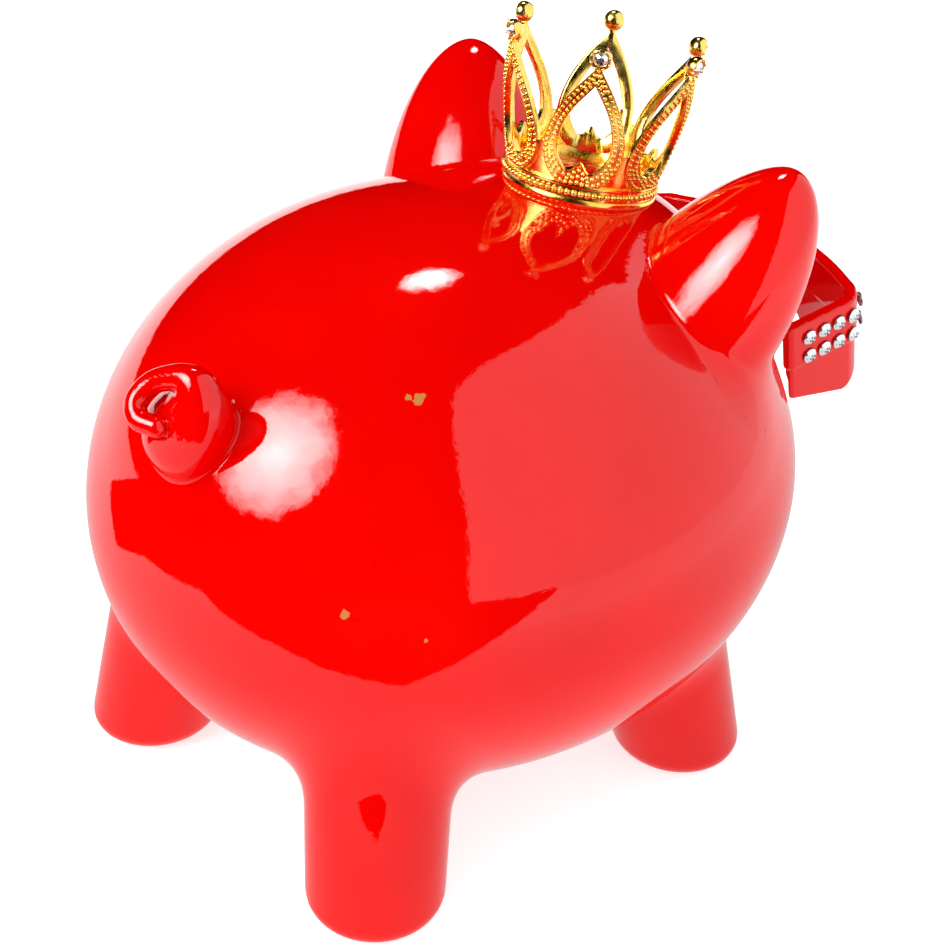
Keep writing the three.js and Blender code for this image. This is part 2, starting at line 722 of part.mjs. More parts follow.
// The front view of the whole frame: two rounded lobes with the notch for the snout between them.
function shadesFront() {
  const x = SHADES.halfWidth + SHADES.stripStand + 1;
  const half = SHADES.height / 2;
  const notch = SHADES.notchHalfWidth;
  const r = SHADES.cornerRadius;
  const shape = new THREE.Shape();
  shape.moveTo(-x, half);
  shape.lineTo(-x, -half + r);
  shape.quadraticCurveTo(-x, -half, -x + r, -half);
  shape.lineTo(-notch - 3, -half);
  shape.quadraticCurveTo(-notch, -half, -notch + 2, -half + 4);
  shape.quadraticCurveTo(0, -half + 2 * SHADES.notchHeight - 4, notch - 2, -half + 4);
  shape.quadraticCurveTo(notch, -half, notch + 3, -half);
  shape.lineTo(x - r, -half);
  shape.quadraticCurveTo(x, -half, x, -half + r);
  shape.lineTo(x, half);
  return shape;
}

function lensOutline(side, grow) {
  const half = SHADES.height / 2;
  const top = half - SHADES.stripHeight - SHADES.lensGapTop + grow;
  const bottom = -half + SHADES.lensInset * 0.6 - grow;
  const inner = SHADES.notchHalfWidth + 1.5 - grow;
  const outer = SHADES.halfWidth - SHADES.lensInset + grow;
  const [x0, x1] = side > 0 ? [inner, outer] : [-outer, -inner];
  return roundedRectangle(x0, bottom, x1, top, 5 + grow);
}

function shadesFrame() {
  const half = SHADES.height / 2;
  const stripBottom = half - SHADES.stripHeight;
  let frame = shadesWall(0, -SHADES.wall, -half, half).intersect(throughFront(shadesFront()));
  frame = frame.add(shadesWall(SHADES.stripStand, -SHADES.wall / 2, stripBottom, half));
  for (const side of [-1, 1]) {
    const recess = shadesWall(2, -SHADES.lensDepth - GAP, -half, stripBottom - 0.5);
    frame = frame.subtract(recess.intersect(throughFront(lensOutline(side, GAP))));
  }
  const rise = new THREE.Shape([
    new THREE.Vector2(SHADES.cornerRadius, -half - 1),
    new THREE.Vector2(SHADES.depth + 1, -half - 1),
    new THREE.Vector2(SHADES.depth + 1, -half + SHADES.rearRise),
    new THREE.Vector2(SHADES.cornerRadius, -half),
  ]);
  const across = 1.5 * SHADES.halfWidth;
  const wedge = new THREE.ExtrudeGeometry(rise, { depth: 2 * across, bevelEnabled: false });
  frame = frame.subtract(solid(wedge.rotateX(Math.PI / 2).rotateZ(Math.PI / 2).translate(-across, 0, 0)));
  const { saddleHalfWidth, saddleBottom, saddleHeight, saddleLength } = SHADES;
  const saddle = new THREE.BoxGeometry(2 * saddleHalfWidth, saddleLength, saddleHeight);
  const saddleY = -SHADES.bulge + SHADES.wall / 2 + saddleLength / 2;
  frame = frame.add(solid(moved(saddle, 0, saddleY, -half + saddleBottom + saddleHeight / 2)));
  const inPlace = solid(placed(geometryOf(frame), shadesPlace));
  return geometryOf(inPlace.subtract(seat));
}

function lensGeometry(side) {
  const half = SHADES.height / 2;
  const plate = shadesWall(0, -SHADES.lensDepth, -half, half).intersect(throughFront(lensOutline(side, 0)));
  return placed(geometryOf(plate), shadesPlace);
}

// The point and the direction of a path at a distance from its start.
function pointAlong(path, distance) {
  let left = distance;
  let curve = path.curves[0];
  for (curve of path.curves) {
    if (left <= curve.getLength()) break;
    left -= curve.getLength();
  }
  const u = Math.min(left / curve.getLength(), 1);
  return [curve.getPointAt(u), curve.getTangentAt(u)];
}

// Where the stones of the sunglasses sit: a list of [name, matrix].
function shadesStones() {
  const plan = shadesPlan(SHADES.stripStand);
  const curves = plan.curves;
  const frontLength = curves.slice(1, 5).reduce((sum, curve) => sum + curve.getLength(), 0);
  const sideLength = curves[0].getLength();
  const total = frontLength + 2 * sideLength;
  const stones = [];
  const spot = (name, along, row) => {
    const [p, t] = pointAlong(plan, along);
    const normal = new THREE.Vector3(t.y, -t.x, 0);
    const height = SHADES.height / 2 - SHADES.rowInset - row * SHADES.rowPitch;
    const point = new THREE.Vector3(p.x, p.y, height).addScaledVector(normal, GAP);
    stones.push([name, new THREE.Matrix4().multiplyMatrices(shadesPlace, facing(point, normal))]);
  };
  for (const row of [0, 1]) {
    for (let i = 0; i < SHADES.browStones; i++) {
      const offset = (i / (SHADES.browStones - 1) - 0.5) * SHADES.browSpan * frontLength;
      spot(`brow_stone_${row + 1}_${i + 1}`, total / 2 + offset, row);
    }
    for (let i = 0; i < SHADES.templeStones; i++) {
      const back = SHADES.templeFirst + i * SHADES.templePitch;
      spot(`temple_stone_right_${row + 1}_${i + 1}`, sideLength - back, row);
      spot(`temple_stone_left_${row + 1}_${i + 1}`, total - sideLength + back, row);
    }
  }
  return stones;
}

// ---------------------------------------------------------------- the stopper

function stopperGeometry() {
  const { flangeRadius, gripRadius } = STOPPER;
  const neck = STOPPER.holeRadius - STOPPER.clearance;
  const belly = TRUNK.centreHeight - TRUNK.halfHeight;
  const bottom = belly - STOPPER.flangeStand;
  const top = belly + STOPPER.plugHeight;
  const grip = bottom - STOPPER.gripHeight;
  const profile = [
    [0, grip], [gripRadius, grip], [gripRadius, bottom],
    [flangeRadius - 1, bottom], [flangeRadius, bottom + 1], [flangeRadius, belly + 2],
    [neck, belly + 2], [neck - STOPPER.taper, top], [0, top],
  ];
  const plug = new THREE.LatheGeometry(profile.map(([x, y]) => new THREE.Vector2(x, y)), 32).rotateX(Math.PI / 2);
  const blank = solid(moved(plug, 0, STOPPER.centreY, 0));
  const hole = new THREE.CylinderGeometry(neck + GAP * 0.1, neck + GAP * 0.1, THROUGH, 32).rotateX(Math.PI / 2);
  return geometryOf(blank.subtract(seat.subtract(solid(moved(hole, 0, STOPPER.centreY, 0)))));
}

// ---------------------------------------------------------------- the object

const finish = (color, roughness, metalness) => new THREE.MeshStandardMaterial({ color, roughness, metalness });
const glaze = finish(COLOUR.glaze, 0.06, 0);
const gold = finish(COLOUR.gold, 0.18, 1);
const crystal = finish(COLOUR.crystal, 0.05, 0);
const darkLens = finish(COLOUR.lens, 0.05, 0);
const rubber = finish(COLOUR.rubber, 0.7, 0);

const bank = new THREE.Group();

function put(name, geometry, material) {
  const mesh = new THREE.Mesh(geometry, material);
  mesh.name = name;
  bank.add(mesh);
}

put('body_shell', bodyShell(), glaze);
put('ear_left', earGeometry(1), glaze);
put('ear_right', earGeometry(-1), glaze);
put('tail', tailGeometry(), glaze);
put('stopper', stopperGeometry(), rubber);
put('crown', crownGeometry(), gold);
for (let k = 0; k < CROWN.points; k++) {
  const place = new THREE.Matrix4().multiplyMatrices(crownPlace, tipPose(k, -STONE.height * 0.5 + GAP));
  put(`crown_stone_${k + 1}`, placed(stoneGeometry(STONE.tipRadius), place), crystal);
}
put('sunglasses_frame', shadesFrame(), glaze);
put('lens_left', lensGeometry(1), darkLens);
put('lens_right', lensGeometry(-1), darkLens);
for (const [name, place] of shadesStones()) {
  put(name, placed(stoneGeometry(STONE.browRadius), place), crystal);
}

// The origin goes to the middle of the object's box, on the floor.
const bounds = new THREE.Box3().setFromObject(bank);
const middle = bounds.getCenter(new THREE.Vector3());
bank.position.set(-middle.x, -middle.y, -bounds.min.z);

export default bank;
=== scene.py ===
# A standing pig money bank in red glaze, with a gold crown and gem-studded sunglasses.
# Shapes are worked out in millimetres in the pig's own frame (it faces -Y, its tail is at +Y,
# its right side is at -X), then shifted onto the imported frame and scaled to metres.

import math

import bpy
import numpy as np
from mathutils import Matrix, Vector


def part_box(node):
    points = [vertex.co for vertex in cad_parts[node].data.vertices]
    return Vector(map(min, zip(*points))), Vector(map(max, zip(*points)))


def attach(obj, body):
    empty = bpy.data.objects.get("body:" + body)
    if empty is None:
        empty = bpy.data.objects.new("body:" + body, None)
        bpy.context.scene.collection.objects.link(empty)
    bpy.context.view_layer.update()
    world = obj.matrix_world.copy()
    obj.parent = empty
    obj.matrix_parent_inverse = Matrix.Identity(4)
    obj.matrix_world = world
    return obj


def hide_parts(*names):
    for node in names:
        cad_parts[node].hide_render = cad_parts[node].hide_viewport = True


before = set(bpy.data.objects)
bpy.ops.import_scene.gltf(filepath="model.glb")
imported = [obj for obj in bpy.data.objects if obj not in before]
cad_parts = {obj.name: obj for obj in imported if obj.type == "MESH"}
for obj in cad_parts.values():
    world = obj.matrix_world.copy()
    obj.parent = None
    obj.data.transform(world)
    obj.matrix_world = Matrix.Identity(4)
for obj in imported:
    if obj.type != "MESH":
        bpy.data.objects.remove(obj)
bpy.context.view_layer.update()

MM = 0.001
STOPPER_Y = 2.0
SOLE = 0.2  # the height of the soles in the pig's frame
low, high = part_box("stopper")
SHIFT = np.array([0.0, (low[1] + high[1]) / 2 / MM - STOPPER_Y, -SOLE])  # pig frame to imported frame, mm


# ------------------------------------------------------------------ sizes, as in the part

WALL = 5.0
TRUNK = dict(width=110, length=117.4, height=90.5, z=102, wide=-0.04, tall=0.03, pitch=math.radians(-3.5))
HEAD = dict(centre=(0, -49.7, 121.3), radii=(70.4, 61.1, 69.3), blend=12)
SNOUT = dict(front=-146, root=-60, z=86, width=24, height=19, edge=5, blend=24)
LEG = dict(foot=21.8, top=24.3, height=95, splay=0.16, edge=6.5, blend=12,
           rear=(60.8, 77), front=(66.4, -54.5))
NOSTRIL = dict(x=9, radii=(4, 3, 5.2), lip=1.5)
SLOT = dict(half=14.4, radius=2.6, bottom=150, lip=1.4)
HOLE = dict(radius=13.5, top=60, lip=1.2)
EAR = dict(root=(45.8, -52.4, 148), radii=(35.4, 28.7, 62.7), leanX=0.4, leanY=-0.33,
           turn=math.radians(10), power=1.75, hollow=(22, 19, 40), hollow_front=31, hollow_up=10, lip=5)
ROOT_DEPTH = 1.5  # how far the ears and the tail reach under the body's skin
CROWN_Y, CROWN_Z, CROWN_TILT, CROWN_PHASE = -56.2, 186.6, math.radians(11.3), math.radians(130.2)
RING, TIP_RADIUS, TIP_HEIGHT, BAND = 24.6, 33.4, 46.6, 5.5
SHADES = dict(y=-153.3, z=121, pitch=math.radians(-8.6), roll=math.radians(-3.2), lean=0.11,
              half=48.5, rear=45.5, depth=32, bulge=13, height=40, rise=8, rise_from=7, wall=3.4,
              corner=7, step=3.2, strip=18, stand=0.8, edge=1, strip_edge=0.6)
CORNER = dict(out=33.2, radius=9, start=10, squash=0.9)
NOTCH = dict(half=13, height=12, drop=1, depth=4, lip=1.6)
POCKET = dict(inner=13.2, outer=43.8, foot=2.7, head=1.3, corner=5.3, floor=1.6, lip=0.35)
BRIDGE = dict(half=6, height=4, down=10, y=4.35, reach=14.6, edge=1, blend=2)


# ------------------------------------------------------------------ fields (negative inside)

def smin(a, b, k):
    h = np.maximum(k - np.abs(a - b), 0) / k
    return np.minimum(a, b) - h * h * k / 4


def smax(a, b, k):
    return -smin(-a, -b, k)


def ellipsoid(x, y, z, r):
    k = np.sqrt((x / r[0]) ** 2 + (y / r[1]) ** 2 + (z / r[2]) ** 2)
    g = np.sqrt((x / r[0] ** 2) ** 2 + (y / r[1] ** 2) ** 2 + (z / r[2] ** 2) ** 2)
    return k * (k - 1) / np.maximum(g, 1e-6)


def rounded(side, end):
    return np.hypot(np.maximum(side, 0), np.maximum(end, 0)) + np.minimum(np.maximum(side, end), 0)


def trunk(x, y, z):
    c, s = math.cos(TRUNK["pitch"]), math.sin(TRUNK["pitch"])
    up = z - TRUNK["z"]
    yy, zz = c * y + s * up, -s * y + c * up
    u = yy / TRUNK["length"]
    wide, tall = TRUNK["width"] * (1 + TRUNK["wide"] * u), TRUNK["height"] * (1 + TRUNK["tall"] * u)
    return ellipsoid(x, yy, zz, (wide, TRUNK["length"], tall))


def snout(x, y, z):
    across = np.hypot(x / SNOUT["width"], (z - SNOUT["z"]) / SNOUT["height"])
    side = (across - 1) * SNOUT["height"] + SNOUT["edge"]
    end = np.maximum(SNOUT["front"] - y, y - SNOUT["root"]) + SNOUT["edge"]
    return rounded(side, end) - SNOUT["edge"]


def leg(x, y, z, fx, fy):
    radius = LEG["foot"] + (LEG["top"] - LEG["foot"]) * z / LEG["height"]
    lean = LEG["splay"] * z
    side = np.hypot(x - fx + np.sign(fx) * lean, y - fy + np.sign(fy) * lean) - radius + LEG["edge"]
    end = np.maximum(-z, z - LEG["height"]) + LEG["edge"]
    return rounded(side, end) - LEG["edge"]


def body(x, y, z):
    c = HEAD["centre"]
    d = smin(trunk(x, y, z), ellipsoid(x - c[0], y - c[1], z - c[2], HEAD["radii"]), HEAD["blend"])
    d = smin(d, snout(x, y, z), SNOUT["blend"])
    for s in (-1, 1):
        for fx, fy in (LEG["rear"], LEG["front"]):
            d = smin(d, leg(x, y, z, s * fx, fy), LEG["blend"])
    return d


def casting(x, y, z):
    outside = body(x, y, z)
    skin = outside
    for s in (-1, 1):
        nostril = ellipsoid(x - s * NOSTRIL["x"], y - SNOUT["front"], z - SNOUT["z"], NOSTRIL["radii"])
        skin = smax(skin, -nostril, NOSTRIL["lip"])
    d = np.maximum(skin, -(outside + WALL))
    along = np.maximum(np.abs(x) - SLOT["half"], 0)
    slot = np.maximum(np.hypot(along, y - CROWN_Y) - SLOT["radius"], SLOT["bottom"] - z)
    hole = np.maximum(np.hypot(x, y - STOPPER_Y) - HOLE["radius"], z - HOLE["top"])
    d = smax(smax(d, -slot, SLOT["lip"]), -hole, HOLE["lip"])
    return np.maximum(d, SOLE - z)


def petal(x, y, z, side):
    w = z - EAR["root"][2]
    across = x * side - EAR["root"][0] - EAR["leanX"] * w
    back = y - EAR["root"][1] - EAR["leanY"] * w
    c, s = math.cos(EAR["turn"]), math.sin(EAR["turn"])
    u, v = c * across + s * back, -s * across + c * back
    rx, ry, rz = EAR["radii"]
    flat, tall = np.hypot(u / rx, v / ry), np.abs(w / rz)
    k = (flat ** EAR["power"] + tall ** EAR["power"]) ** (1 / EAR["power"])
    d = (k - 1) * np.sqrt(u * u + v * v + w * w) / np.maximum(np.hypot(flat, tall), 1e-6)
    hollow = ellipsoid(u, v + EAR["hollow_front"], w - EAR["hollow_up"], EAR["hollow"])
    return smax(d, -hollow, EAR["lip"])


def ear_field(side):
    def field(x, y, z):
        skin = body(x, y, z)
        # The fillet is wide at the outer lower side of the ear and tight at the crown side.
        outer = np.clip((side * x - 40) / 35, 0, 1) * np.clip((168 - z) / 30, 0, 1)
        d = smin(petal(x, y, z, side), skin, 2 + 16 * outer)
        return np.maximum(d, -(skin + ROOT_DEPTH))
    return field


TAIL_RISE = math.radians(39)
TAIL_ROOT = np.array([0, 98.5, 150.1])
TAIL_FILLET = 1.6
# To the pig's right, up along the rump, and straight out of it.
TAIL_AXES = np.array([
    [-1, 0, 0],
    [0, -math.sin(TAIL_RISE), math.cos(TAIL_RISE)],
    [0, math.cos(TAIL_RISE), math.sin(TAIL_RISE)],
])
# Along the tail's middle line: right, up, out and the radius there.
TAIL_STATIONS = [
    (0.6, 0.3, -5, 14.5), (3.6, 1.8, 1.5, 13.9), (9.5, 6.2, 7, 10.8), (12.6, 11, 12, 7.7),
    (11.2, 14.8, 16, 5.4), (6.6, 14.3, 18.5, 4), (0.3, 9.5, 20, 3.4), (-1.5, 2.8, 20.5, 3.4),
    (2.3, -1.2, 20, 3.25), (8.1, -0.6, 18.2, 3.1),
]


def smooth_path(points, count):
    p = np.array(points, float)
    q = np.vstack([2 * p[0] - p[1], p, 2 * p[-1] - p[-2]])
    t = np.linspace(0, len(p) - 1, count)
    k = np.minimum(t.astype(int), len(p) - 2)
    f = (t - k)[:, None]
    a, b, c, d = q[k], q[k + 1], q[k + 2], q[k + 3]
    cubic = (3 * b - a - 3 * c + d) * f ** 3
    return 0.5 * (2 * b + (c - a) * f + (2 * a - 5 * b + 4 * c - d) * f ** 2 + cubic)


def tail_field():
    chain = smooth_path(TAIL_STATIONS, 120)
    centres = TAIL_ROOT + chain[:, :3] @ TAIL_AXES

    def field(x, y, z):
        d = np.full(np.shape(x), 1e9)
        for (cx, cy, cz), r in zip(centres, chain[:, 3]):
            d = np.minimum(d, np.sqrt((x - cx) ** 2 + (y - cy) ** 2 + (z - cz) ** 2) - r)
        skin = body(x, y, z)
        return np.maximum(smin(d, skin, TAIL_FILLET), -(skin + ROOT_DEPTH))
    return field


# ------------------------------------------------------------------ meshes from fields

CORNERS = np.array([[n & 1, n >> 1 & 1, n >> 2] for n in range(8)])
EDGES = [(0, 1), (2, 3), (4, 5), (6, 7), (0, 2), (1, 3), (4, 6), (5, 7), (0, 4), (1, 5), (2, 6), (3, 7)]


def slope(field, p, h=0.02):
    g = np.empty_like(p)
    for n in range(3):
        e = np.zeros(3)
        e[n] = h
        g[:, n] = (field(*(p + e).T) - field(*(p - e).T)) / (2 * h)
    return g


def nets(field, lo, hi, cell):
    """Surface nets: one vertex in each cell that the surface crosses, moved onto the surface."""
    lo, hi = np.array(lo, float) - cell * 1.37, np.array(hi, float) + cell * 1.37
    count = np.ceil((hi - lo) / cell).astype(int) + 1
    axes = [lo[n] + cell * np.arange(count[n]) for n in range(3)]
    value = field(*np.meshgrid(*axes, indexing="ij"))
    inside = value < 0
    near = np.zeros(count - 1, int)
    for a, b, c in CORNERS:
        near += inside[a:count[0] - 1 + a, b:count[1] - 1 + b, c:count[2] - 1 + c]
    cells = np.argwhere((near > 0) & (near < 8))
    number = np.full(count - 1, -1)
    number[tuple(cells.T)] = np.arange(len(cells))
    total, hits = np.zeros((len(cells), 3)), np.zeros(len(cells))
    corner_values = [value[tuple((cells + c).T)] for c in CORNERS]
    for a, b in EDGES:
        va, vb = corner_values[a], corner_values[b]
        cut = (va < 0) != (vb < 0)
        t = np.where(cut, va / np.where(va == vb, 1, va - vb), 0)[:, None]
        total += np.where(cut[:, None], CORNERS[a] + t * (CORNERS[b] - CORNERS[a]), 0)
        hits += cut
    p = lo + cell * (cells + total / hits[:, None])
    middle = lo + cell * (cells + 0.5)
    for _ in range(4):
        g = slope(field, p)
        step = field(*p.T) / np.maximum((g ** 2).sum(1), 0.25)
        p -= g * np.clip(step, -cell / 4, cell / 4)[:, None]
        p = np.clip(p, middle - cell * 0.6, middle + cell * 0.6)
    quads = []
    for n in range(3):
        u, v = (n + 1) % 3, (n + 2) % 3
        first = np.take(inside, range(count[n] - 1), n)
        second = np.take(inside, range(1, count[n]), n)
        at = np.argwhere(first != second)
        at = at[(at[:, u] > 0) & (at[:, v] > 0) & (at[:, u] < count[u] - 1) & (at[:, v] < count[v] - 1)]
        du, dv = np.eye(3, dtype=int)[u], np.eye(3, dtype=int)[v]
        ring = np.stack([number[tuple((at - o).T)] for o in (du + dv, dv, 0 * du, du)], 1)
        out = first[tuple(at.T)]
        quads.append(np.where(out[:, None], ring, ring[:, ::-1]))
    return p, np.vstack(quads)


def make_object(name, points, faces, material, normals=None, place=None):
    """An object from points in millimetres in the pig's frame."""
    points = np.asarray(points, float)
    if place is not None:
        points = points @ place[:3, :3].T + place[:3, 3]
    mesh = bpy.data.meshes.new(name)
    mesh.from_pydata(((points + SHIFT) * MM).tolist(), [], [list(map(int, f)) for f in faces])
    mesh.polygons.foreach_set("use_smooth", [True] * len(mesh.polygons))
    mesh.update()
    if normals is not None:
        mesh.normals_split_custom_set_from_vertices(normals.tolist())
    mesh.materials.append(material)
    obj = bpy.data.objects.new(name, mesh)
    bpy.context.scene.collection.objects.link(obj)
    return obj


def skin_object(name, field, lo, hi, cell, material, place=None):
    points, quads = nets(field, lo, hi, cell)
    normals = slope(field, points)
    normals /= np.maximum(np.linalg.norm(normals, axis=1), 1e-9)[:, None]
    if place is not None:
        normals = normals @ np.linalg.inv(place[:3, :3])
        normals /= np.linalg.norm(normals, axis=1)[:, None]
    return make_object(name, points, quads, material, normals, place)


# ------------------------------------------------------------------ small solids as (points, faces)

def lathe(profile, sides):
    """A closed turned solid about Z from (radius, height) pairs; the ends lie on the axis."""
    points, faces, rings = [], [], []
    for r, h in profile:
        if r < 1e-6:
            rings.append([len(points)])
            points.append((0, 0, h))
        else:
            start = len(points)
            rings.append(list(range(start, start + sides)))
            for n in range(sides):
                a = 2 * math.pi * n / sides
                points.append((r * math.cos(a), r * math.sin(a), h))
    for one, two in zip(rings, rings[1:]):
        for n in range(sides):
            m = (n + 1) % sides
            if len(one) == 1:
                faces.append((one[0], two[m], two[n]))
            elif len(two) == 1:
                faces.append((one[n], one[m], two[0]))
            else:
                faces.append((one[n], one[m], two[m], two[n]))
    return np.array(points), faces


def ring_faces(rings, size):
    """Faces between closed rings of points, the last ring joined to the first."""
    faces = []
    for n in range(rings):
        here, there = n * size, (n + 1) % rings * size
        for k in range(size):
            m = (k + 1) % size
            faces.append((here + k, there + k, there + m, here + m))
    return faces


def hoop(profile, sides):
    """A closed ring about Z from a closed loop of (radius, height) pairs."""
    angles = [2 * math.pi * n / sides for n in range(sides)]
    points = [(r * math.cos(a), r * math.sin(a), h) for a in angles for r, h in profile]
    return np.array(points), ring_faces(sides, len(profile))


def join(parts):
    points, faces, start = [], [], 0
    for p, f in parts:
        points.append(np.asarray(p, float))
        faces += [tuple(i + start for i in face) for face in f]
        start += len(p)
    return np.vstack(points), faces


def ball(radius):
    angles = [math.pi * k / 6 for k in range(7)]
    return lathe([(radius * math.sin(a), -radius * math.cos(a)) for a in angles], 8)


def turned(solid, matrix):
    p, f = solid
    return p @ matrix[:3, :3].T + matrix[:3, 3], f


def facing(point, direction):
    m = np.eye(4)
    m[:3, :3] = np.array(Vector(direction).to_track_quat("Z", "Y").to_matrix())
    m[:3, 3] = point
    return m


def placing(x, y, z, rx=0.0, ry=0.0, shear=0.0):
    """Turn about X and Y as in the part, after a shear of Y by height."""
    m = Matrix.Translation((x, y, z)) @ Matrix.Rotation(rx, 4, "X") @ Matrix.Rotation(ry, 4, "Y")
    lean = Matrix.Identity(4)
    lean[1][2] = shear
    return np.array(m @ lean)


# ------------------------------------------------------------------ materials

def new_material(name, colour, roughness, metallic=0.0, ior=1.5):
    m = bpy.data.materials.new(name)
    m.use_nodes = True
    shader = m.node_tree.nodes["Principled BSDF"]
    shader.inputs["Base Color"].default_value = (*colour, 1)
    shader.inputs["Roughness"].default_value = roughness
    shader.inputs["Metallic"].default_value = metallic
    shader.inputs["IOR"].default_value = ior
    return m, m.node_tree, shader


def node(tree, kind, **values):
    n = tree.nodes.new(kind)
    for key, value in values.items():
        if key in n.inputs:
            n.inputs[key].default_value = value
        else:
            setattr(n, key, value)
    return n


def noise(tree, scale, detail=2.0, rough=0.5):
    place = node(tree, "ShaderNodeTexCoord")
    n = node(tree, "ShaderNodeTexNoise", Scale=scale, Detail=detail, Roughness=rough)
    tree.links.new(place.outputs["Object"], n.inputs["Vector"])
    return n.outputs["Fac"]


def ramp(tree, source, stops):
    n = node(tree, "ShaderNodeValToRGB")
    while len(n.color_ramp.elements) < len(stops):
        n.color_ramp.elements.new(0.5)
    for e, (at, colour) in zip(n.color_ramp.elements, stops):
        e.position, e.color = at, (*colour, 1)
    tree.links.new(source, n.inputs["Fac"])
    return n.outputs["Color"]


def bumps(tree, shader, layers):
    """Stacks bump layers of (height, strength, distance in metres) onto a shader."""
    normal = None
    for height, strength, distance in layers:
        b = node(tree, "ShaderNodeBump", Strength=strength, Distance=distance)
        tree.links.new(height, b.inputs["Height"])
        if normal is not None:
            tree.links.new(normal, b.inputs["Normal"])
        normal = b.outputs["Normal"]
    tree.links.new(normal, shader.inputs["Normal"])


def grey(v):
    return (v, v, v)


FLECK_RAG = 0.0035  # how far noise moves a fleck's edge, in metres


def gilt_flecks(tree, colour, flecks):
    """Lays ragged gold flecks, given as (place, radius) in millimetres, over a colour."""
    total = None
    for point, size in flecks:
        place = node(tree, "ShaderNodeTexCoord")
        away = node(tree, "ShaderNodeVectorMath", operation="DISTANCE")
        away.inputs[1].default_value = tuple((np.array(point) + SHIFT) * MM)
        tree.links.new(place.outputs["Object"], away.inputs[0])
        ragged = node(tree, "ShaderNodeMath", operation="MULTIPLY_ADD")
        ragged.inputs[1].default_value = FLECK_RAG
        tree.links.new(noise(tree, 500, 2), ragged.inputs[0])
        tree.links.new(away.outputs["Value"], ragged.inputs[2])
        near = node(tree, "ShaderNodeMath", operation="LESS_THAN")
        near.inputs[1].default_value = size * MM + FLECK_RAG / 2
        tree.links.new(ragged.outputs[0], near.inputs[0])
        if total is None:
            total = near.outputs[0]
        else:
            both = node(tree, "ShaderNodeMath", operation="MAXIMUM")
            tree.links.new(total, both.inputs[0])
            tree.links.new(near.outputs[0], both.inputs[1])
            total = both.outputs[0]
    gilt = node(tree, "ShaderNodeMixRGB", Color2=(0.5, 0.2, 0.05, 1))
    tree.links.new(total, gilt.inputs["Fac"])
    tree.links.new(colour, gilt.inputs["Color1"])
    return gilt.outputs["Color"]


def glaze_material(name, flecks):
    """Thick red lacquer: slightly wavy, with fine dust under it and a few gold flecks."""
    m, tree, shader = new_material(name, (0.8, 0, 0), 0.035)
    mottle = ramp(tree, noise(tree, 18, 3), [(0.3, (0.66, 0, 0)), (0.7, (0.75, 0.001, 0))])
    cells = node(tree, "ShaderNodeTexVoronoi", Scale=260, feature="F1")
    tree.links.new(node(tree, "ShaderNodeTexCoord").outputs["Object"], cells.inputs["Vector"])
    sparse = ramp(tree, noise(tree, 40, 1), [(0.60, grey(0)), (0.66, grey(1))])
    dust = node(tree, "ShaderNodeMath", operation="MULTIPLY")
    tree.links.new(ramp(tree, cells.outputs["Distance"], [(0.05, grey(1)), (0.11, grey(0))]), dust.inputs[0])
    tree.links.new(sparse, dust.inputs[1])
    speckled = node(tree, "ShaderNodeMixRGB", Color2=(0.45, 0, 0, 1))
    tree.links.new(dust.outputs[0], speckled.inputs["Fac"])
    tree.links.new(mottle, speckled.inputs["Color1"])
    colour = speckled.outputs["Color"]
    if flecks:
        colour = gilt_flecks(tree, colour, flecks)
    tree.links.new(colour, shader.inputs["Base Color"])
    bumps(tree, shader, [
        (noise(tree, 14, 2), 0.35, 0.0016),
        (noise(tree, 90, 3, 0.6), 0.16, 0.0003),
        (noise(tree, 280, 3, 0.6), 0.22, 0.00012),
        (noise(tree, 900, 2), 0.06, 0.0001),
    ])
    return m


def gold_material():
    m, tree, shader = new_material("gold_plate", (0.93, 0.62, 0.16), 0.16, 1.0)
    tone = ramp(tree, noise(tree, 160, 3), [(0.3, (0.97, 0.58, 0.08)), (0.7, (1.0, 0.77, 0.24))])
    tree.links.new(tone, shader.inputs["Base Color"])
    polish = ramp(tree, noise(tree, 300, 2), [(0.3, grey(0.12)), (0.7, grey(0.28))])
    tree.links.new(polish, shader.inputs["Roughness"])
    bumps(tree, shader, [(noise(tree, 500, 3), 0.12, 0.0002)])
    return m


def crystal_material():
    m, tree, shader = new_material("foiled_crystal", (0.93, 0.95, 0.97), 0.03, 0.85, 1.6)
    # Each facet's grey tone is painted light and shade: bright and dark facets stand in for the stone's
    # glints.
    facet = node(tree, "ShaderNodeAttribute", attribute_name="tone")
    stops = [(0, (0.03, 0.04, 0.05)), (0.5, (0.45, 0.48, 0.5)), (1, (0.99, 0.99, 1.0))]
    tone = ramp(tree, facet.outputs["Fac"], stops)
    tree.links.new(tone, shader.inputs["Base Color"])
    bumps(tree, shader, [(noise(tree, 900, 1), 0.05, 0.0001)])
    return m


def lens_material():
    m, tree, shader = new_material("dark_lens", (0.012, 0.01, 0.014), 0.05)
    tint = ramp(tree, noise(tree, 60, 2), [(0.4, (0.008, 0.006, 0.01)), (0.7, (0.02, 0.014, 0.02))])
    tree.links.new(tint, shader.inputs["Base Color"])
    bumps(tree, shader, [(noise(tree, 40, 1), 0.08, 0.0004)])
    return m


def rubber_material():
    m, tree, shader = new_material("black_rubber", (0.02, 0.02, 0.02), 0.65)
    bloom = ramp(tree, noise(tree, 120, 4), [(0.3, grey(0.012)), (0.7, grey(0.035))])
    tree.links.new(bloom, shader.inputs["Base Color"])
    wear = ramp(tree, noise(tree, 70, 2), [(0.3, grey(0.5)), (0.7, grey(0.78))])
    tree.links.new(wear, shader.inputs["Roughness"])
    bumps(tree, shader, [(noise(tree, 1500, 3), 0.3, 0.0002)])
    return m


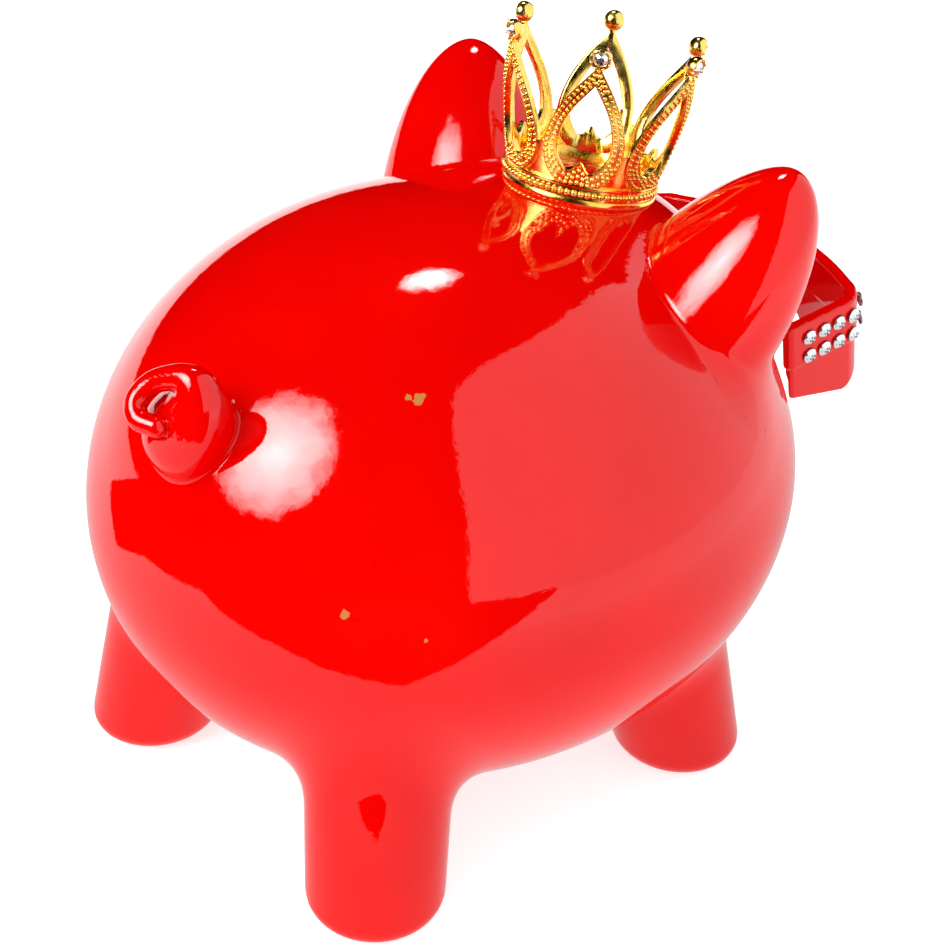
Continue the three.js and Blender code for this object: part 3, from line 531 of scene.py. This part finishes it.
FLECKS = [((-52, 55, 169), 1.6), ((-49.5, 57, 169), 0.9), ((-64, 91, 118), 1.1),
          ((-81, 76, 112), 0.6), ((-86, 70, 112), 0.5), ((-83, 74, 108), 0.4)]
GLAZE = glaze_material("red_glaze", FLECKS)
FRAME_RED = glaze_material("red_lacquer", [])
GOLD, CRYSTAL, LENS, RUBBER = gold_material(), crystal_material(), lens_material(), rubber_material()


def finish_piece(obj, body, slot, *nodes):
    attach(obj, body)
    if nodes:
        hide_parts(*nodes)


# ------------------------------------------------------------------ the pig

cell = 2.0
casting_obj = skin_object("pig_casting", casting, (-112, -147, 0), (112, 119, 193), cell, GLAZE)
finish_piece(casting_obj, "bank", "glaze", "body_shell")

cell = 1.3
for side, label in ((1, "left"), (-1, "right")):
    x0, x1 = sorted((side * 6, side * 108))
    piece = skin_object("glazed_ear_" + label, ear_field(side), (x0, -112, 106), (x1, -8, 214), cell, GLAZE)
    finish_piece(piece, "bank", "glaze", "ear_" + label)

cell = 0.8
curl = skin_object("curled_tail", tail_field(), (-38, 76, 118), (26, 136, 184), cell, GLAZE)
finish_piece(curl, "bank", "glaze", "tail")


# ------------------------------------------------------------------ the crown

FLARE = math.atan2(TIP_RADIUS - RING, TIP_HEIGHT - BAND)
CROWN_PLACE = placing(0, CROWN_Y, CROWN_Z, CROWN_TILT)


def crown_radius(h):
    return RING + math.tan(FLARE) * max(h - BAND, 0)


def bezier(a, b, c, d, n):
    t = np.linspace(0, 1, n)[:, None]
    a, b, c, d = map(np.array, (a, b, c, d))
    return (1 - t) ** 3 * a + 3 * (1 - t) ** 2 * t * b + 3 * (1 - t) * t * t * c + t ** 3 * d


def arch_outline(half, bottom, top, n=26):
    """The right half of a pointed arch, from the middle of its foot to its tip."""
    belly = bottom + half * 0.95
    rise = top - belly
    foot = bezier((0, bottom), (half * 0.75, bottom), (half, belly - half * 0.45), (half, belly), n)
    point = bezier((half, belly), (half, belly + rise * 0.45), (half * 0.3, top - rise * 0.22), (0, top), n)
    return np.vstack([foot, point[1:]])


def on_cone(x, h, lift):
    r = crown_radius(h)
    return ((r + lift) * math.cos(x / r), (r + lift) * math.sin(x / r), h)


ARCH_HALF, RAIL, PLATE = 13.0, 4.2, 1.9
TOP = TIP_HEIGHT - 1.7


def mirrored(half):
    """A closed loop from the right half of an outline."""
    return np.vstack([half, (half * (-1, 1))[-2:0:-1]])


def arch():
    """One pointed arch of the crown, with a lip along both edges and rows of beads."""
    outer = arch_outline(ARCH_HALF, BAND - 1.5, TOP)
    inner = arch_outline(ARCH_HALF - RAIL, BAND + 4.2, TOP - 6.9)
    # A cusp stands in the middle of the opening's foot, with a dip on each side of it.
    inner[:, 1] += 3.2 * np.exp(-(inner[:, 0] / 1.7) ** 2) * (inner[:, 1] < BAND + 14)
    inner[:, 1] -= 0.9 * np.exp(-((inner[:, 0] - 4.2) / 1.8) ** 2) * (inner[:, 1] < BAND + 7.5)
    # Across the rail, as (share of its width, lift): a low lip along both edges.
    section = [(0, -0.3), (0.03, 0.3), (0.1, 0.3), (0.14, -0.05),
               (0.86, -0.05), (0.9, 0.3), (0.97, 0.3), (1, -0.3),
               (1, 0.4 - PLATE), (0.88, -PLATE), (0.12, -PLATE), (0, 0.4 - PLATE)]
    o, i = mirrored(outer), mirrored(inner)
    points = [on_cone(*(i[n] + s * (o[n] - i[n])), lift) for n in range(len(o)) for s, lift in section]
    faces = [(a, d, c, b) for a, b, c, d in ring_faces(len(o), len(section))]
    parts = [(np.array(points), faces)]
    # Three rows of beads; the middle one only where the rail is wide enough.
    bead, pitch, wide_enough = ball(0.7), 1.75, 5.2
    for share in (0.27, 0.5, 0.73):
        line = i + share * (o - i)
        closed = np.vstack([line, line[:1]])
        length = np.concatenate([[0], np.cumsum(np.linalg.norm(np.diff(closed, axis=0), axis=1))])
        wide = np.linalg.norm(np.vstack([o, o[:1]]) - np.vstack([i, i[:1]]), axis=1)
        count = int(length[-1] / pitch)
        for n in range(count):
            at = length[-1] * n / count
            if share == 0.5 and np.interp(at, length, wide) < wide_enough:
                continue
            x, h = np.interp(at, length, closed[:, 0]), np.interp(at, length, closed[:, 1])
            parts.append((bead[0] + on_cone(x, h, 0), bead[1]))
    return join(parts)


def web():
    """The smooth sheet that fills the valley between two neighbouring points."""
    rows = [(BAND - 0.4, 7), (BAND + 1.5, 5.4), (BAND + 4, 3), (BAND + 7, 1.6), (BAND + 11, 1.2)]
    points, faces, across = [], [], 6
    for lift in (-0.5, -1.4):
        for h, half in rows:
            points += [on_cone(half * (2 * k / across - 1), h, lift) for k in range(across + 1)]
    size, step = len(rows) * (across + 1), across + 1
    for r in range(len(rows) - 1):
        for k in range(across):
            a = r * step + k
            b = size + a
            faces += [(a, a + 1, a + 1 + step, a + step), (b, b + step, b + 1 + step, b + 1)]
    rim = list(range(step)) + [r * step + across for r in range(1, len(rows))]
    rim += [(len(rows) - 1) * step + k for k in range(across - 1, -1, -1)]
    rim += [r * step for r in range(len(rows) - 2, 0, -1)]
    faces += [(a, size + a, size + b, b) for a, b in zip(rim, rim[1:] + rim[:1])]
    return np.array(points), faces


def tip_pose(k):
    """Where the cup at the tip of arch k sits, square to the flare of the crown."""
    a = CROWN_PHASE + k * math.pi / 3
    out = np.array([math.cos(a) * math.cos(FLARE), math.sin(a) * math.cos(FLARE), -math.sin(FLARE)])
    point = np.array([TIP_RADIUS * math.cos(a), TIP_RADIUS * math.sin(a), TIP_HEIGHT])
    return facing(point, out)


def crown():
    band = [(RING - 1.8, -3), (RING + 0.3, -3), (RING + 0.5, -2.6), (RING + 0.5, 0.5),
            (RING + 0.3, 0.9), (RING - 0.2, 1), (RING - 0.2, BAND - 1.1), (RING + 0.3, BAND - 1),
            (RING + 0.5, BAND - 0.6), (RING + 0.4, BAND - 0.1),
            (RING, BAND), (RING - 1.6, BAND), (RING - 1.8, BAND - 0.3)]
    parts = [hoop(band, 96)]
    bead, beads, bead_height = ball(1.1), 72, 2.75
    for n in range(beads):
        a = 2 * math.pi * n / beads
        parts.append((bead[0] + (RING * math.cos(a), RING * math.sin(a), bead_height), bead[1]))
    point, valley = arch(), web()
    cup = lathe([(0, -3.6), (1.5, -3.4), (2.7, -2.7), (3.3, -1.5), (3.45, -0.4), (3.35, 0.25),
                 (3.0, 0.45), (2.75, 0.2), (2.65, -0.6), (0, -0.6)], 24)
    claw, claws, claw_radius, claw_height = ball(0.5), 8, 3.0, 0.45
    for k in range(6):
        a = CROWN_PHASE + k * math.pi / 3
        turn = np.array(Matrix.Rotation(a, 4, "Z"))
        parts.append(turned(point, turn))
        parts.append(turned(valley, np.array(Matrix.Rotation(a + math.pi / 6, 4, "Z"))))
        parts.append(turned(cup, tip_pose(k)))
        for n in range(claws):
            b = 2 * math.pi * (n + 0.5) / claws
            spot = (claw_radius * math.cos(b), claw_radius * math.sin(b), claw_height)
            parts.append(turned((claw[0] + spot, claw[1]), tip_pose(k)))
    return join(parts)


points, faces = crown()
crown_obj = make_object("gilt_crown", points, faces, GOLD, place=CROWN_PLACE)
crown_obj.data.set_sharp_from_angle(angle=math.radians(38))
finish_piece(crown_obj, "bank", "gold", "crown")


# ------------------------------------------------------------------ cut stones, one on each packed stone

def brilliant(radius, height):
    """A round stone cut with a table, star and kite facets and a flat back. Faces +Z from z = 0."""
    def ring(r, z, sides, phase=0.0):
        angles = [phase + 2 * math.pi * n / sides for n in range(sides)]
        return [(r * math.cos(a), r * math.sin(a), z) for a in angles]

    points = [(0, 0, 0)]
    points += ring(radius, 0, 16)
    points += ring(radius, 0.3 * height, 16)
    points += ring(radius * 0.78, height * 0.66, 8, math.pi / 8)
    points += ring(radius * 0.5, height, 8)
    points += [(0, 0, height)]
    back, girdle, kite, table, middle = 1, 17, 33, 41, 49  # where each ring of points starts
    faces = []
    for n in range(16):
        m = (n + 1) % 16
        faces += [(0, back + m, back + n), (back + n, back + m, girdle + m, girdle + n)]
    for n in range(8):
        m = (n + 1) % 8
        g0, g1, g2 = girdle + 2 * n, girdle + 2 * n + 1, girdle + (2 * n + 2) % 16
        k, t0, t1 = kite + n, table + n, table + m
        faces += [(g0, g1, k), (g1, g2, k), (g0, k, t0), (g2, t1, k), (k, t1, t0), (t0, t1, middle)]
    return np.array(points), faces


# How bright each facet looks, painted in: painted glints and painted dark facets stand in for the light a cut
# stone throws back and the shade it shows.
TABLE_PAINTED_GLINTS = (0.05, 0.85, 0.2, 1, 0.1, 0.7, 0, 0.9)
KITE_PAINTED_GLINTS = (1, 0.75, 0.9, 0.6, 1, 0.85, 0.7, 0.95)
FACET_PAINTED_GLINTS = [0.3, 0.35] * 16 + [t for n in range(8) for t in (1, 0.9, 0.8, 1, KITE_PAINTED_GLINTS[n], TABLE_PAINTED_GLINTS[n])]


def stone_pose(name):
    """The middle of a packed stone's flat back, the way it faces, its radius and its height, in mm."""
    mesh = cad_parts[name].data
    p = np.array([v.co for v in mesh.vertices]) / MM - SHIFT
    normal, best = None, 0
    for face in mesh.polygons:
        n = np.array(face.normal)
        total = sum(q.area for q in mesh.polygons if np.dot(n, q.normal) > 0.999)
        if total > best:
            normal, best = -n, total
    h = p @ normal
    back = np.unique(p[h < h.min() + 0.05].round(2), axis=0)
    rim = back[np.linalg.norm(back - back.mean(0), axis=1) > 1]
    middle = rim.mean(0)
    return middle, normal, np.linalg.norm(rim - middle, axis=1).max(), h.max() - h.min()


for name in sorted(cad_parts):
    if "stone" not in name:
        continue
    middle, normal, radius, height = stone_pose(name)
    round_radius = radius * (0.95 if name.startswith("crown") else 0.9)
    solid = turned(brilliant(round_radius, height), facing(middle, normal))
    gem = make_object("cut_" + name, *solid, CRYSTAL)
    gem.data.polygons.foreach_set("use_smooth", [False] * len(gem.data.polygons))
    # The painted glints and painted shade go onto the facets as their tone.
    gem.data.attributes.new("tone", "FLOAT", "FACE").data.foreach_set("value", FACET_PAINTED_GLINTS)
    finish_piece(gem, "bank", "crystal", name)


# ------------------------------------------------------------------ the sunglasses

def plan(grow, n=14):
    """The outer face from above, grown outwards: side, corner, front, corner, side."""
    x, rear, r = SHADES["half"] + grow, SHADES["rear"] + grow, SHADES["corner"]
    step, front = -grow - SHADES["step"], -grow - SHADES["bulge"]

    def curve(a, b, c):
        t = np.linspace(0, 1, n)[1:, None]
        return (1 - t) ** 2 * np.array(a) + 2 * (1 - t) * t * np.array(b) + t * t * np.array(c)

    half = np.vstack([[(rear, SHADES["depth"])], [(x, r)], curve((x, r), (x, -grow - 1), (x - r, step)),
                      curve((x - r, step), (x * 0.42, front), (0, front))])
    return np.vstack([half * (-1, 1), half[-2::-1]])


def signed_distance(path, x, y):
    """Distance to an open path, negative on its inner side."""
    best, inside = np.full(np.shape(x), 1e9), np.zeros(np.shape(x), bool)
    closed = np.vstack([path, path[:1]])
    for n, ((x0, y0), (x1, y1)) in enumerate(zip(closed, closed[1:])):
        inside ^= ((y0 > y) != (y1 > y)) & (x < (x1 - x0) * (y - y0) / (y1 - y0 + 1e-12) + x0)
        if n < len(path) - 1:
            dx, dy = x1 - x0, y1 - y0
            t = np.clip(((x - x0) * dx + (y - y0) * dy) / (dx ** 2 + dy ** 2), 0, 1)
            best = np.minimum(best, np.hypot(x - x0 - t * dx, y - y0 - t * dy))
    return np.where(inside, -best, best)


MIDDLE = plan(-SHADES["wall"] / 2)


def rounded_box(x, z, x0, z0, x1, z1, r):
    qx = np.abs(x - (x0 + x1) / 2) - (x1 - x0) / 2 + r
    qz = np.abs(z - (z0 + z1) / 2) - (z1 - z0) / 2 + r
    return rounded(qx, qz) - r


def shades_field(x, y, z):
    half, wall, edge = SHADES["height"] / 2, SHADES["wall"], SHADES["edge"]
    across = signed_distance(MIDDLE, x, y)
    d = rounded(np.abs(across) - wall / 2 + edge, np.abs(z) - half + edge) - edge
    # The strip that carries the stones stands out from the front and the side walls.
    strip_low, stand, edge = half - SHADES["strip"], SHADES["stand"], SHADES["strip_edge"]
    strip = rounded(np.abs(across - stand / 2) - (wall + stand) / 2 + edge,
                    np.abs(z - (half + strip_low) / 2) - SHADES["strip"] / 2 + edge) - edge
    d = smin(d, strip, 0.5)
    # The lower front corners are rounded, and the side walls get lower towards the front.
    corner = (np.abs(x) - y) / math.sqrt(2) - CORNER["out"] + CORNER["radius"]
    below = np.maximum(-z - half + CORNER["start"], 0) * CORNER["squash"]
    d = smax(d, np.hypot(np.maximum(corner, 0), below) - CORNER["radius"], 1)
    back = (y - SHADES["rise_from"]) / (SHADES["depth"] - SHADES["rise_from"])
    d = smax(d, -half + SHADES["rise"] * back - z, 1)
    # A notch over the snout, and a pocket in front of each lens.
    notch = (np.hypot(x / NOTCH["half"], (z + half + NOTCH["drop"]) / NOTCH["height"]) - 1) * NOTCH["height"]
    d = smax(d, -np.maximum(notch, y - NOTCH["depth"]), NOTCH["lip"])
    foot, head = -half + POCKET["foot"], strip_low - POCKET["head"]
    for s in (-1, 1):
        pocket = rounded_box(s * x, z, POCKET["inner"], foot, POCKET["outer"], head, POCKET["corner"])
        d = smax(d, -np.maximum(pocket, -(across - wall / 2) - POCKET["floor"]), POCKET["lip"])
    # The bridge behind the front rests on the snout.
    bar = rounded(np.abs(x) - BRIDGE["half"], np.abs(z + BRIDGE["down"]) - BRIDGE["height"])
    bridge = rounded(bar, np.abs(y - BRIDGE["y"]) - BRIDGE["reach"]) - BRIDGE["edge"]
    points = SHADES_PLACE[:3, :3] @ np.stack([x.ravel(), y.ravel(), z.ravel()]) + SHADES_PLACE[:3, 3:]
    skin = body(*points).reshape(x.shape)
    return smax(smin(d, bridge, BRIDGE["blend"]), -skin, 0.5)


SHADES_PLACE = placing(0, SHADES["y"], SHADES["z"], SHADES["pitch"], SHADES["roll"], SHADES["lean"])
cell = 0.85
shades = skin_object("studded_frame", shades_field, (-51, -15, -21), (51, 34, 21), cell,
                     FRAME_RED, SHADES_PLACE)
finish_piece(shades, "bank", "frame", "sunglasses_frame")

for name in ("lens_left", "lens_right"):
    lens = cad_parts[name]
    lens.data.materials.clear()
    lens.data.materials.append(LENS)
    edge = lens.modifiers.new("edge", "BEVEL")
    edge.width, edge.segments = 0.0004, 2
    edge.limit_method, edge.angle_limit = "ANGLE", math.radians(40)


# ------------------------------------------------------------------ the stopper in the belly

BELLY = TRUNK["z"] - TRUNK["height"]
# (radius, height above the belly): a low ring underneath, the flange, then the ribbed plug.
BUNG = [
    (0, -2.0), (3.2, -2.0), (3.8, -2.2), (4.2, -3.2), (5, -3.4), (5.6, -3.1), (5.9, -2.3), (7, -2.1),
    (15.2, -2.1), (16.8, -1.7), (17.4, -0.9), (17.4, -0.45),
    (13.15, -0.35), (13.1, 1), (12.8, 3), (13.1, 3.6), (12.7, 6), (12.9, 6.8), (12.4, 8.6), (11.4, 9), (0, 9),
]
points, faces = lathe([(r, BELLY + h) for r, h in BUNG], 72)
bung = make_object("rubber_stopper", points + (0, STOPPER_Y, 0), faces, RUBBER)
bung.data.set_sharp_from_angle(angle=math.radians(50))
finish_piece(bung, "stopper", "rubber", "stopper")


# ------------------------------------------------------------------ floor, white and black cards

def stage_card(name, points, faces, colour, strength):
    """A card that only reflections see; it glows by its strength and takes no light."""
    m = bpy.data.materials.new(name)
    m.use_nodes = True
    tree = m.node_tree
    tree.nodes.clear()
    out = node(tree, "ShaderNodeOutputMaterial")
    light = node(tree, "ShaderNodeEmission", Color=(*colour, 1), Strength=strength)
    tree.links.new(light.outputs[0], out.inputs["Surface"])
    card = make_object(name, points, faces, m)
    card.visible_camera = card.visible_diffuse = card.visible_shadow = card.visible_transmission = False
    return card, tree, light


floor_mat, _, shader = new_material("pale_floor", (0.86, 0.86, 0.86), 0.9)
shader.inputs["Specular IOR Level"].default_value = 0.0
shader.inputs["Emission Color"].default_value = (1, 1, 1, 1)
shader.inputs["Emission Strength"].default_value = 0.7
far = 4000


def floor_corners(height):
    return [(-far, -far, height), (far, -far, height), (far, far, height), (-far, far, height)]


make_object("floor", floor_corners(0.15), [(0, 1, 2, 3)], floor_mat)

# The sheet that the bank stands on, as the glaze sees it: brighter out of the bank's own shade.
_, tree, light = stage_card("white_sheet", floor_corners(0.6), [(0, 1, 2, 3)], (1, 1, 1), 1.4)
away = node(tree, "ShaderNodeVectorMath", operation="LENGTH")
tree.links.new(node(tree, "ShaderNodeTexCoord").outputs["Object"], away.inputs[0])
tree.links.new(ramp(tree, away.outputs["Value"], [(0.2, grey(0.5)), (0.55, grey(1))]), light.inputs["Color"])

# Beyond the edge of the sheet, the room is dark in the glaze.
edge = [(-far, 152), (-152, 152), (-76, 296), (107, 489), (255, 361), (235, 215), (494, 250),
        (1300, 815), (far, 2700), (far, far), (-far, far)]
stage_card("dark_room", [(x, y, 1.0) for x, y in edge], [tuple(range(len(edge)))], grey(0), 0)


def dome_card(name, radius, columns, strength):
    """A white wall round the pig: (azimuth, lowest and highest elevation), all in degrees."""
    rows, centre_height, points, faces = 10, 110, [], []
    for azimuth, low_el, high_el in columns:
        for k in range(rows + 1):
            e, a = math.radians(low_el + (high_el - low_el) * k / rows), math.radians(azimuth)
            x, y = radius * math.sin(a) * math.cos(e), -radius * math.cos(a) * math.cos(e)
            points.append((x, y, centre_height + radius * math.sin(e)))
    for n in range(len(columns) - 1):
        for k in range(rows):
            i = n * (rows + 1) + k
            faces.append((i, i + rows + 1, i + rows + 2, i + 1))
    stage_card(name, points, faces, (1, 1, 1), strength)


dome_card("white_wall", 2500, [
    (243.5, -6, 58), (246, -6, 66), (252, -6, 74), (264, -6, 78), (285, -6, 79), (310, -6, 78),
    (330, -6, 74), (345, -6, 66), (354, -6, 60), (5, -6, 47), (10.5, -6, 39), (12, -6, 30),
], 1.2)


def soft_card(name, centre, across, up, strength):
    """A glowing oval card with a ragged, fading rim; across and up are its half axes."""
    centre, across, up = (np.array(v, float) for v in (centre, across, up))
    sides, reach = 24, 1.25
    turns = np.linspace(0, 2 * math.pi, sides + 1)[:-1]
    points = [centre] + [centre + reach * (across * math.cos(a) + up * math.sin(a)) for a in turns]
    faces = [(0, n, n % sides + 1) for n in range(1, sides + 1)]
    card, tree, light = stage_card(name, points, faces, (1, 1, 1), strength)
    card.data.attributes.new("rim", "FLOAT", "POINT").data.foreach_set("value", [0.0] + [reach] * sides)
    rim = node(tree, "ShaderNodeAttribute", attribute_name="rim")
    size = np.linalg.norm(across) * MM
    ragged = node(tree, "ShaderNodeMath", operation="MULTIPLY_ADD")
    ragged.inputs[1].default_value = 0.5
    tree.links.new(noise(tree, 2.6 / size, 4, 0.65), ragged.inputs[0])
    tree.links.new(rim.outputs["Fac"], ragged.inputs[2])
    stops = [(0.2, grey(1)), (0.72, grey(0.55)), (0.94, grey(0.14)), (1, grey(0))]
    tree.links.new(ramp(tree, ragged.outputs[0], stops), light.inputs["Color"])


soft_card("window", (165, 885, 880), (-530, 0, 178), (160, -420, 428), 24)
soft_card("lamp", (348, -264, 942), (-65, -133, -17), (72, -62, -48), 30)

key = bpy.data.lights.new("key", "AREA")
key.shape, key.size, key.energy = "DISK", 1.6, 30
key_obj = bpy.data.objects.new("key", key)
bpy.context.scene.collection.objects.link(key_obj)
key_obj.location = (0.3, 1.7, 1.9)
key_obj.rotation_euler = (Vector((0, 0, 0.1)) - key_obj.location).to_track_quat("-Z", "Y").to_euler()
key_obj.visible_glossy = False

world = bpy.data.worlds.new("studio")
bpy.context.scene.world = world
world.use_nodes = True
world.node_tree.nodes["Background"].inputs["Color"].default_value = (1, 1, 1, 1)
world.node_tree.nodes["Background"].inputs["Strength"].default_value = 0.9
world.cycles_visibility.glossy = False


# ------------------------------------------------------------------ camera and view

AZIMUTH, ELEVATION, ROLL = math.radians(227.09), math.radians(31.6), math.radians(2.1)
DISTANCE, FOCAL = 644.99, 75.77  # mm
AIM_HEIGHT, TO_RIGHT, DOWN = 120, 10.68, 18.88  # mm
back = np.array([
    math.sin(AZIMUTH) * math.cos(ELEVATION),
    -math.cos(AZIMUTH) * math.cos(ELEVATION),
    math.sin(ELEVATION),
])
right = np.cross(-back, (0, 0, 1))
right /= np.linalg.norm(right)
up = np.cross(right, -back)
right, up = math.cos(ROLL) * right + math.sin(ROLL) * up, math.cos(ROLL) * up - math.sin(ROLL) * right
eye = np.array([0, 0, AIM_HEIGHT]) + back * DISTANCE + right * TO_RIGHT - up * DOWN

camera = bpy.data.cameras.new("camera")
camera.lens, camera.sensor_width = FOCAL, 36
camera.clip_start, camera.clip_end = 0.01, 50
camera_obj = bpy.data.objects.new("camera", camera)
bpy.context.scene.collection.objects.link(camera_obj)
turn = np.eye(4)
turn[:3, :3] = np.stack([right, up, back], 1)
turn[:3, 3] = (eye + SHIFT) * MM
camera_obj.matrix_world = Matrix(turn.tolist())
bpy.context.scene.camera = camera_obj

view = bpy.context.scene.view_settings
view.view_transform, view.look, view.exposure, view.gamma = "Standard", "None", 0.0, 1.0

bpy.context.view_layer.update()
